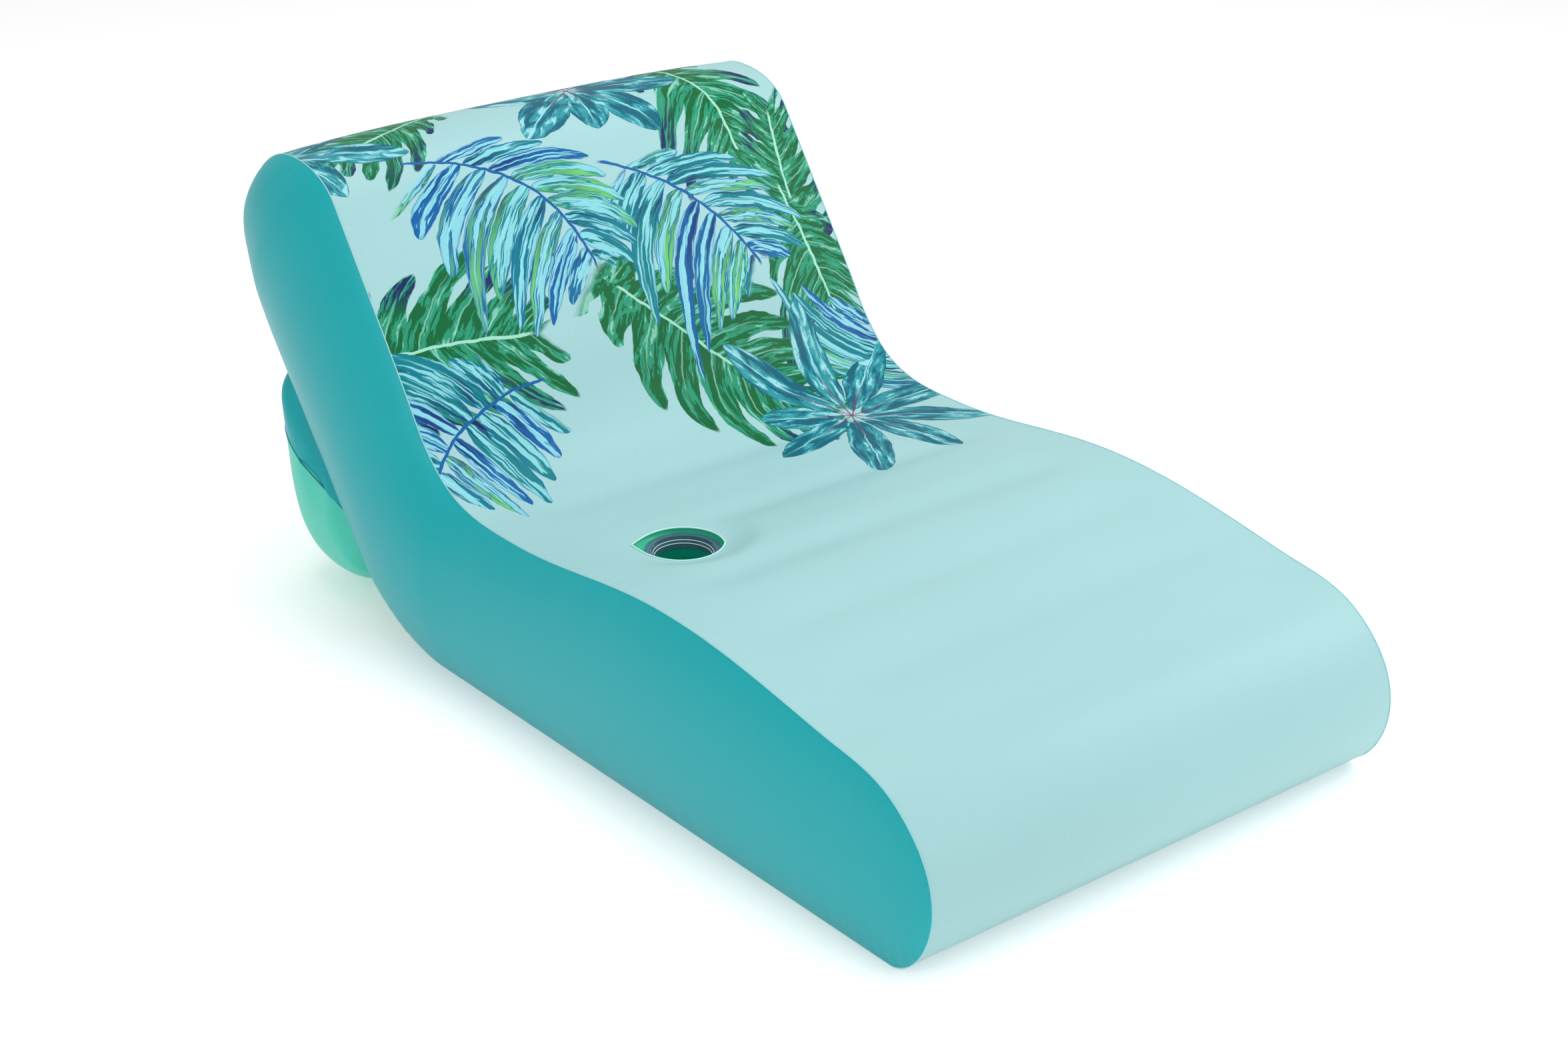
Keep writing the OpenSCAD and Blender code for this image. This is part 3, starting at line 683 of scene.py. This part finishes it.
def seamPucker(along, away, seed, settings):
    shift = 4 * noise.noise(Vector((along * 6, seed, 0)))
    wave = math.sin(2 * math.pi * along / settings["puckerLength"] + shift)
    size = 0.35 + 0.65 * max(0.0, 0.5 + noise.noise(Vector((along * 4, seed + 9, 2))))
    slow = noise.noise(Vector((along * 16, seed + 4, 1)))
    return settings["pucker"] * (size * wave * math.exp(-away / settings["puckerReach"])
                                 + 1.3 * slow * math.exp(-away / (2.2 * settings["puckerReach"])))


def topPoint(x, s):
    t = stepAt(topLengths, s)
    base, out = alongSteps(topPath, t), normalOf(topPath, t)
    v = min(1.0, abs(x) / halfWidth)
    away = halfWidth - abs(x)
    lift = table(topSheet["crown"], s) * (1 - v ** topSheet["crownPower"])
    fade = smooth(*topSheet["webFade"], away)
    for web in webLengths:
        lift -= topSheet["webDip"] * fade * bump(s, web, topSheet["webWidth"])
    lift += seamPucker(s, away, 3 if x > 0 else 8, topSheet) * smooth(0.0, 0.006, away)
    p = base + out * lift
    # round the holder the sheet is pulled level, a little above its ring
    gap = math.hypot(x - cup["x"], s - cup["s"]) - cup["holeR"]
    if gap < 3 * cup["levelReach"]:
        level = 1 - smooth(-0.01, cup["levelReach"], gap)
        p.y += (cup["ringZ"] + cup["rise"] - p.y) * level
    return Vector((x, p.x, p.y))


def cutHole(mesh, axes, centre, edgeAt, refine, cuts):
    # the faces round the hole are made finer, those inside it go, and its edge is drawn onto the outline
    i, j = axes

    def polar(co):
        dx, dy = co[i] - centre[0], co[j] - centre[1]
        return math.hypot(dx, dy), math.atan2(dy, dx)

    near = [e for e in mesh.edges if all(polar(v.co)[0] < refine for v in e.verts)]
    bmesh.ops.subdivide_edges(mesh, edges=near, cuts=cuts, use_grid_fill=True)
    inside = []
    for face in mesh.faces:
        for v in face.verts:
            away, angle = polar(v.co)
            if away < edgeAt(angle) and away < refine:
                inside.append(face)
                break
    bmesh.ops.delete(mesh, geom=inside, context="FACES")
    for edge in mesh.edges:
        if len(edge.link_faces) == 1:
            for v in edge.verts:
                away, angle = polar(v.co)
                if away < refine:
                    v.co[i] = centre[0] + edgeAt(angle) * math.cos(angle)
                    v.co[j] = centre[1] + edgeAt(angle) * math.sin(angle)


def layTopSheet():
    first, last = topLengths[0], topLengths[-1]
    mesh = flatGrid(topSheet["across"], topSheet["along"])
    for vertex in mesh.verts:
        even = 2 * vertex.co.x - 1
        crowded = math.sin(math.pi / 2 * even)  # the rows draw together towards the welds
        vertex.co.x = halfWidth * crowded * topSheet["crowding"] + halfWidth * even * (1 - topSheet["crowding"])
        vertex.co.y = first + (last - first) * vertex.co.y
    cutHole(mesh, (0, 1), (cup["x"], cup["s"]), cupEdge, cup["fineReach"], 2)
    mapGrid(mesh, topPoint, lambda x, s: (x, s))
    piece = openPiece("topSheet", mesh, "float_body", printedVinyl, Vector((0, 0, 0.1)))
    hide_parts("top_sheet")


layTopSheet()
print("top sheet laid")


# side panels
sidePanel = {
    "along": 200, "rows": 44, "bulge": 0.060, "fullChord": 0.350, "roundness": 0.86,
    "noseShare": 0.5, "growFrom": 0.1, "growOver": 0.5,  # the bulge grows from the nose towards the back
    "pucker": 0.0013, "puckerReach": 0.022, "puckerLength": 0.024,
}
topRun, bottomRun = runningLength(topLine), runningLength(bottomLine)


def panelPoint(side, a, b):
    t = a * stationCount
    top, bottom = alongSteps(topLine, t), alongSteps(bottomLine, t)
    grown = max(0.0, min(1.0, (a - sidePanel["growFrom"]) / sidePanel["growOver"]))
    ramp = sidePanel["noseShare"] + (1 - sidePanel["noseShare"]) * grown
    chord = (top - bottom).length
    s = (1 - math.cos(math.pi * b)) / 2
    rise = sidePanel["bulge"] * ramp * min(1.0, chord / sidePanel["fullChord"])
    x = halfWidth + rise * (4 * s * (1 - s)) ** sidePanel["roundness"]
    p = top.lerp(bottom, s)
    along = topRun[int(t)] if s < 0.5 else bottomRun[int(t)]
    away = min(s, 1 - s) * chord
    wrinkle = seamPucker(along + (t - int(t)) * 0.006, away, 20 + side + (5 if s > 0.5 else 0), sidePanel)
    return Vector((side * (x + wrinkle * smooth(0.0, 0.008, away)), p.x, p.y))


# for each valve: the hole's radius, and how far round its middle the sheet is made finer
valveHoles = {
    "seat_valve_base": (0.0184, 0.034), "back_valve_base": (0.0070, 0.020),
    "bolster_valve_base": (0.0070, 0.022),
}


def cutValveHole(mesh, node, axes):
    low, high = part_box(node)
    middle = (low + high) / 2
    radius, fineReach = valveHoles[node]
    cutHole(mesh, axes, (middle[axes[0]], middle[axes[1]]), lambda angle: radius, fineReach, 3)


def makeSidePanel(name, side, node):
    mesh = flatGrid(sidePanel["along"], sidePanel["rows"])
    mapGrid(mesh, lambda a, b: panelPoint(side, a, b))
    bmesh.ops.remove_doubles(mesh, verts=mesh.verts, dist=0.00002)
    if side > 0:
        for valve in ("seat_valve_base", "back_valve_base"):
            cutValveHole(mesh, valve, (1, 2))
    piece = openPiece(name, mesh, "float_body", tealVinyl, Vector((0, 0, 0.2)))
    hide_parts(node)


makeSidePanel("sidePanelLeft", -1, "side_panel_left")
makeSidePanel("sidePanelRight", 1, "side_panel_right")
print("side panels laid")


# underside and back
backSheet = {
    "across": 72, "along": 130, "fold": 5 * steps, "crownPower": 3.2,
    # how many spans along the underside, and how far the sheet stands out there
    "crown": [(5.0, 0.0), (5.9, 0.0), (7.1, 0.0), (7.6, 0.008), (8.4, 0.010), (9.0, 0.0)],
    "pucker": 0.0010, "puckerReach": 0.022, "puckerLength": 0.026,
}
underside = {"across": 24, "along": 90}


def backPoint(x, t):
    base, out = alongSteps(bottomLine, t), normalOf(bottomLine, t, -1)
    v, away = min(1.0, abs(x) / halfWidth), halfWidth - abs(x)
    free = smooth(7.1, 7.6, t / steps)
    lift = table(backSheet["crown"], t / steps) * (1 - v ** backSheet["crownPower"])
    lift += free * seamPucker(bottomRun[int(t)], away, 40, backSheet) * smooth(0.0, 0.006, away)
    p = base + out * lift
    return Vector((x, p.x, p.y))


def layBackSheet():
    mesh = flatGrid(backSheet["across"], backSheet["along"])
    mapGrid(mesh, lambda a, b: backPoint(halfWidth * (2 * a - 1),
                                         backSheet["fold"] + (stationCount - backSheet["fold"]) * b))
    piece = openPiece("backSheet", mesh, "float_body", greenVinyl, Vector((0, 0.5, 0.45)))
    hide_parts("back_sheet")


def layUnderside():
    span = backSheet["fold"] - foldSteps
    mesh = flatGrid(underside["across"], underside["along"])
    mapGrid(mesh, lambda a, b: Vector((halfWidth * (2 * a - 1), *alongSteps(bottomLine, foldSteps + span * b))))
    piece = openPiece("underside", mesh, "float_body", mintVinyl, Vector((0, 0, 0.2)))
    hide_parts("bottom_sheet")


layBackSheet()
layUnderside()


# inner webs
innerWebs = {"gap": 0.070, "bulkhead": 37, "backWebs": [47, 52, 57], "stepsPerSpan": 8, "wellClear": 0.082,
             "across": 60, "down": 12, "bulkheadGap": 0.002, "margin": 0.001, "footLift": 0.0004}


def makeWeb(name, half, topEdge, bottomEdge, node, wellHole):
    mesh = flatGrid(innerWebs["across"], innerWebs["down"])
    margin = innerWebs["margin"]

    def webPoint(a, b):
        x = half * (2 * a - 1)
        return topEdge(x).lerp(bottomEdge(x), margin + (1 - 2 * margin) * b)

    mapGrid(mesh, webPoint)
    if wellHole:
        clear = [f for f in mesh.faces if abs(f.calc_center_median().x - cup["x"]) < innerWebs["wellClear"]]
        bmesh.ops.delete(mesh, geom=clear, context="FACES")
    piece = openPiece(name, mesh, "float_body", mintVinyl, Vector((0, -9, 0)))
    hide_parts(node)


for k, (y, s) in enumerate(zip(topSheet["webs"], webLengths)):
    makeWeb(f"seatWeb{k + 1}", halfWidth - innerWebs["gap"], lambda x, s=s: topPoint(x, s),
            lambda x, y=y: Vector((x, y, innerWebs["footLift"])), f"seat_web_{k + 1}",
            abs(y - cup["y"]) < innerWebs["wellClear"])
for k, station in enumerate([innerWebs["bulkhead"]] + innerWebs["backWebs"]):
    t = station * steps / innerWebs["stepsPerSpan"]
    name, node, gap = (f"backWeb{k}", f"back_web_{k}", innerWebs["gap"]) if k else (
        "bulkhead", "bulkhead", innerWebs["bulkheadGap"])
    makeWeb(name, halfWidth - gap, lambda x, t=t: topPoint(x, topRun[int(t)]), lambda x, t=t: backPoint(x, t),
            node, False)
print("underside, back and inner webs laid")


# seams
seams = {"radius": 0.0011, "lift": 0.0002, "gap": 0.006, "bolsterRadius": 0.0013, "bolsterGap": 0.003}
outlineLoop = topLine + list(reversed(bottomLine[1:-1]))


def spread(points, gap):
    # drop points that lie closer together than the gap
    kept = [points[0]]
    for p in points[1:]:
        if (p - kept[-1]).length >= gap:
            kept.append(p)
    return kept


for name, side in (("sideSeamLeft", -1), ("sideSeamRight", 1)):
    loop = [Vector((side * (halfWidth + seams["lift"]), p.x, max(p.y, seams["radius"])))
            for p in spread(outlineLoop, seams["gap"])]
    tubeAlong(name, loop, seams["radius"], "float_body", seamVinyl)
print("seams welded")


# bolster
bolster = {
    "a": (0.55659, 0.09859), "b": (0.82058, 0.42939), "floor": (0.71083, 0.0), "rear": (0.865, 0.209),
    "halfLength": 0.496, "power": 4.5, "columns": 72, "rounds": 30, "frontSteps": 16,
    "lengthwise": 0.6, "aside": 5, "frontDepth": 0.05,
    "pucker": 0.0010, "puckerReach": 0.020, "puckerLength": 0.022,
    "seamAt": (0.740, 0.243), "seamSlant": 30.0, "seamPlaces": 120, "seamRound": 160,
    # the ends are tucked in by this much, from here to there along x and up to this depth of the bag
    "tuck": 0.022, "tuckFrom": 0.40, "tuckTo": 0.49, "tuckDepth": 0.05,
}
seamSlant = math.radians(bolster["seamSlant"])
seamOut = Vector((math.sin(seamSlant), -math.cos(seamSlant)))
bagMiddle = (Vector(bolster["a"]) + Vector(bolster["b"])) / 2
bagChord = (Vector(bolster["b"]) - Vector(bolster["a"])).normalized()
bagOut = Vector((bagChord.y, -bagChord.x))
bellyNodes = [(*bolster["a"], -80, 0.40), (*bolster["floor"], 0, 0.5), (*bolster["rear"], 90, 0.5),
              (*bolster["b"], 150, 0.36)]
bellyLine = curveThrough(bellyNodes, bolster["rounds"])
frontLine = [Vector(bolster["b"]).lerp(Vector(bolster["a"]), k / bolster["frontSteps"])
             for k in range(1, bolster["frontSteps"])]
bagLoop = bellyLine + frontLine


def taper(x):
    return (1 - min(1.0, abs(x) / bolster["halfLength"]) ** bolster["power"]) ** (1 / bolster["power"])


def bagPoint(x, share, size):
    p = alongSteps(bagLoop + bagLoop[:1], share * len(bagLoop))
    out = p - bagMiddle
    # towards its ends the bag thins down on to the back's line, where it meets the side panel
    q = bagMiddle + bagChord * out.dot(bagChord) * size ** bolster["lengthwise"]
    q += bagOut * out.dot(bagOut) * size
    depth = (q - bagMiddle).dot(bagOut)
    tuck = smooth(bolster["tuckFrom"], bolster["tuckTo"], abs(x))
    tuck *= 1 - smooth(0.0, bolster["tuckDepth"], depth)
    x -= math.copysign(bolster["tuck"], x) * tuck
    away = abs((q - Vector(bolster["seamAt"])).dot(seamOut))
    free = smooth(0.004, 0.030, (q - Vector(bolster["a"])).dot(seamOut) + 0.09) * smooth(0.004, 0.03, q.y)
    if share * len(bagLoop) < len(bellyLine) - 3:
        q += (q - bagMiddle).normalized() * free * smooth(0.0, 0.006, away) \
            * seamPucker(x, away, 60, bolster) * (1 - smooth(0.40, 0.47, abs(x)))
    return Vector((x, q.x, max(0.0, q.y)))


def endCrowded(share):
    # places from end to end of the bag, closer together near its ends
    return bolster["halfLength"] * math.sin(math.pi / 2 * (2 * share - 1))


def bagMesh():
    mesh = flatGrid(bolster["columns"], len(bagLoop))
    mapGrid(mesh, lambda a, b: bagPoint(endCrowded(a), b % 1.0, max(1e-6, taper(endCrowded(a)))))
    bmesh.ops.remove_doubles(mesh, verts=mesh.verts, dist=0.00003)
    return mesh


def halfBag(name, keepRear, material, nodes):
    mesh = bagMesh()
    bmesh.ops.bisect_plane(mesh, geom=mesh.verts[:] + mesh.edges[:] + mesh.faces[:], dist=0.00001,
                           plane_co=(0, *bolster["seamAt"]), plane_no=(0, *seamOut),
                           clear_inner=keepRear, clear_outer=not keepRear)
    if keepRear:
        cutRear(mesh)
    piece = openPiece(name, mesh, "float_body", material, Vector((0, bagMiddle.x, bagMiddle.y)))
    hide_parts(*nodes)


def cutRear(mesh):
    # only the rear of the bag is cut: its front is set aside meanwhile
    aside = bolster["aside"]
    for v in mesh.verts:
        if v.co.y < bagMiddle.x + bolster["frontDepth"]:
            v.co.x += aside
    cutValveHole(mesh, "bolster_valve_base", (0, 2))
    for v in mesh.verts:
        if v.co.x > aside / 2:
            v.co.x -= aside


def seamPoints():
    rear, front = [], []
    places, around = bolster["seamPlaces"], bolster["seamRound"]
    for k in range(places + 1):
        x = endCrowded(k / places) * 0.9995  # the bag has no girth at its very end
        crossings = []
        ring = [bagPoint(x, i / around, taper(x)) for i in range(around + 1)]
        for p, q in zip(ring[:-1], ring[1:]):
            before = (Vector((p.y, p.z)) - Vector(bolster["seamAt"])).dot(seamOut)
            after = (Vector((q.y, q.z)) - Vector(bolster["seamAt"])).dot(seamOut)
            if before * after < 0:
                crossings.append(p.lerp(q, before / (before - after)))
        if len(crossings) == 2:
            crossings.sort(key=lambda c: c.z)
            front.append(crossings[0])
            rear.append(crossings[1])
    return spread(rear + list(reversed(front)), seams["bolsterGap"])


def layBolster():
    halfBag("bolsterBelly", True, bolsterVinyl, ["bolster_skin"])
    halfBag("bolsterGusset", False, tealVinyl, ["bolster_end_left", "bolster_end_right"])
    tubeAlong("bolsterSeam", seamPoints(), seams["bolsterRadius"], "float_body", tealSeamVinyl)


bolsterVinyl = plainVinyl("bolsterVinyl", vinylColours["bolster"])
layBolster()
print("bolster laid")


# drink holder
holder = {"around": 96, "down": 16, "steep": 1.7, "inward": 1.5, "slopeShare": 0.85,
          "shelfDrop": 0.0003, "rim": 0.0014, "rimLift": 0.0008, "rimPoints": 180}


def roundCup(reach, angle, height):
    return Vector((cup["x"] + reach * math.cos(angle), cup["y"] + reach * math.sin(angle), height))


def collarPoint(a, b):
    angle = 2 * math.pi * a
    away = cupEdge(angle)
    outer = topPoint(cup["x"] + away * math.cos(angle), cup["s"] + away * math.sin(angle))
    shelf = roundCup(cup["shelfR"], angle, cup["ringZ"])
    share = holder["slopeShare"]
    if b <= share:
        h = b / share
        flat = outer.lerp(shelf, h ** holder["inward"])
        return Vector((flat.x, flat.y, outer.z + (shelf.z - outer.z) * (1 - (1 - h) ** holder["steep"])))
    inner = cup["wellR"] + (cup["shelfR"] - cup["wellR"]) * (1 - (b - share) / (1 - share))
    return roundCup(inner, angle, cup["ringZ"] - holder["shelfDrop"])


def layHolder():
    mesh = flatGrid(holder["around"], holder["down"])
    mapGrid(mesh, collarPoint)
    bmesh.ops.remove_doubles(mesh, verts=mesh.verts, dist=0.00003)
    bmesh.ops.recalc_face_normals(mesh, faces=mesh.faces)
    up = sum(f.normal.z for f in mesh.faces)
    if up < 0:
        bmesh.ops.reverse_faces(mesh, faces=mesh.faces)
    data = bpy.data.meshes.new("holderCollar")
    mesh.to_mesh(data)
    mesh.free()
    collar = placePiece("holderCollar", data, "float_body", collarVinyl)
    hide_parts("drink_collar")
    rim = []
    for k in range(holder["rimPoints"]):
        angle = 2 * math.pi * k / holder["rimPoints"]
        away = cupEdge(angle)
        edge = topPoint(cup["x"] + away * math.cos(angle), cup["s"] + away * math.sin(angle))
        rim.append(edge + Vector((0, 0, holder["rimLift"])))
    tubeAlong("holderRim", rim, holder["rim"], "float_body", rimVinyl)


rimVinyl = plainVinyl("rimVinyl", srgb(184, 228, 222))
collarVinyl = plainVinyl("collarVinyl", srgb(34, 168, 130), rough=0.32)
layHolder()
print("drink holder laid")


# moulded pieces that keep their shape
clearFinish = {"shade": 0.10, "grain": 700.0, "rough": 0.10, "bump": 0.10, "specular": 0.5,
               "coat": 0.0, "coatRough": 0.03, "transmission": 0.80, "ior": 1.45}


def makeClearVinyl():
    material, tree, shader, w = startMaterial("clearVinyl")
    place = tree.nodes.new("ShaderNodeTexCoord").outputs["Object"]
    finishVinyl(tree, shader, w, srgb(132, 178, 198), clearFinish, place)
    shader.inputs["Transmission Weight"].default_value = clearFinish["transmission"]
    shader.inputs["IOR"].default_value = clearFinish["ior"]
    return material


clearVinyl = makeClearVinyl()
milkyPlastic = plainVinyl("milkyPlastic", srgb(214, 230, 230), rough=0.30, shade=0.10, bump=0.08,
                          coat=0.25, coatRough=0.2)
flapVinyl = plainVinyl("flapVinyl", srgb(196, 214, 214), rough=0.35, shade=0.08)


# thin pale tubes on the edges of the ring's inner steps are a painted highlight, standing in for the light the
# steps catch: how far out and how far down each lies
paintedRingHighlights = {"radius": 0.0006, "points": 120, "at": [(0.0461, 0.0100), (0.0481, 0.0050)]}


def layPaintedHighlights():
    for number, (reach, depth) in enumerate(paintedRingHighlights["at"], start=1):
        loop = [roundCup(reach, 2 * math.pi * k / paintedRingHighlights["points"], cup["ringZ"] - depth)
                for k in range(paintedRingHighlights["points"])]
        tubeAlong(f"ringLip{number}", loop, paintedRingHighlights["radius"], "float_body", paintedHighlightVinyl)


# the pale colour of these tubes is a painted highlight, not a moulded part
paintedHighlightVinyl = plainVinyl("paintedHighlightVinyl", srgb(206, 232, 240), rough=0.2)
layPaintedHighlights()


def refinish(node, material):
    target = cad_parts[node]
    if not target.data.materials:
        target.data.materials.append(material)
    for held in target.material_slots:
        held.material = material


refinish("drink_ring", clearVinyl)
for node in ("drink_well", "drink_floor"):
    refinish(node, wellVinyl)
for node in ("bolster_web_1", "bolster_web_2"):
    refinish(node, greenVinyl)
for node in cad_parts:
    if "_valve_" in node:
        soft = node.endswith("_flap")
        refinish(node, flapVinyl if soft else milkyPlastic)
print("moulded pieces refinished")


# floor, light and camera
studio = {
    "floorHalf": 40.0, "floorDrop": 0.0005, "worldStrength": 0.62, "floorGlow": 0.25,
    "camera": (-2.6468, -3.2258, 2.1650), "back": (-0.57509, -0.70393, 0.41684),
    "right": (0.77441, -0.63268, 0.0), "roll": 0.4029, "lens": 63.66,
    # name, place, aimed at, width, height, watts
    "lamps": [
        ("topLamp", (0.3, 0.4, 4.2), (0.0, 0.0, 0.0), 3.6, 3.6, 90),
        ("leftLamp", (-4.2, -1.6, 2.6), (0.0, 0.0, 0.3), 2.4, 3.0, 40),
        ("noseLamp", (0.6, -4.6, 2.4), (0.0, -0.4, 0.2), 3.2, 2.0, 46),
        ("rightLamp", (3.0, -1.7, 2.7), (0.2, -0.7, 0.2), 1.6, 2.2, 46),
    ],
}


def setStudio():
    scene = bpy.context.scene
    scene.view_settings.view_transform = "Standard"
    world = bpy.data.worlds.new("softRoom")
    scene.world = world
    world.use_nodes = True
    world.node_tree.nodes["Background"].inputs["Color"].default_value = (1.0, 1.0, 1.0, 1.0)
    world.node_tree.nodes["Background"].inputs["Strength"].default_value = studio["worldStrength"]
    mesh = bmesh.new()
    bmesh.ops.create_grid(mesh, x_segments=2, y_segments=2, size=studio["floorHalf"])
    data = bpy.data.meshes.new("floor")
    mesh.to_mesh(data)
    mesh.free()
    floor = bpy.data.objects.new("floor", data)
    scene.collection.objects.link(floor)
    material, _, shader, _ = startMaterial("paleFloor")
    shader.inputs["Base Color"].default_value = (0.93, 0.93, 0.93, 1)
    shader.inputs["Roughness"].default_value = 0.9
    shader.inputs["Specular IOR Level"].default_value = 0.0
    shader.inputs["Emission Color"].default_value = (1, 1, 1, 1)
    shader.inputs["Emission Strength"].default_value = studio["floorGlow"]
    data.materials.append(material)
    floor.location.z = -studio["floorDrop"]
    for name, place, aim, width, height, watts in studio["lamps"]:
        light = bpy.data.lights.new(name, "AREA")
        light.shape = "RECTANGLE"
        light.size, light.size_y, light.energy = width, height, watts
        lamp = bpy.data.objects.new(name, light)
        scene.collection.objects.link(lamp)
        lamp.location = place
        lamp.rotation_euler = (Vector(aim) - Vector(place)).to_track_quat("-Z", "Y").to_euler()
    right, back = Vector(studio["right"]).normalized(), Vector(studio["back"]).normalized()
    up = back.cross(right)
    roll = math.radians(studio["roll"])
    across = right * math.cos(roll) + up * math.sin(roll)
    upright = up * math.cos(roll) - right * math.sin(roll)
    lens = bpy.data.cameras.new("camera")
    lens.sensor_width, lens.lens, lens.clip_end = 36.0, studio["lens"], 200.0
    camera = bpy.data.objects.new("camera", lens)
    scene.collection.objects.link(camera)
    turned = Matrix((across, upright, back)).transposed().to_4x4()
    camera.matrix_world = Matrix.Translation(Vector(studio["camera"])) @ turned
    scene.camera = camera


setStudio()
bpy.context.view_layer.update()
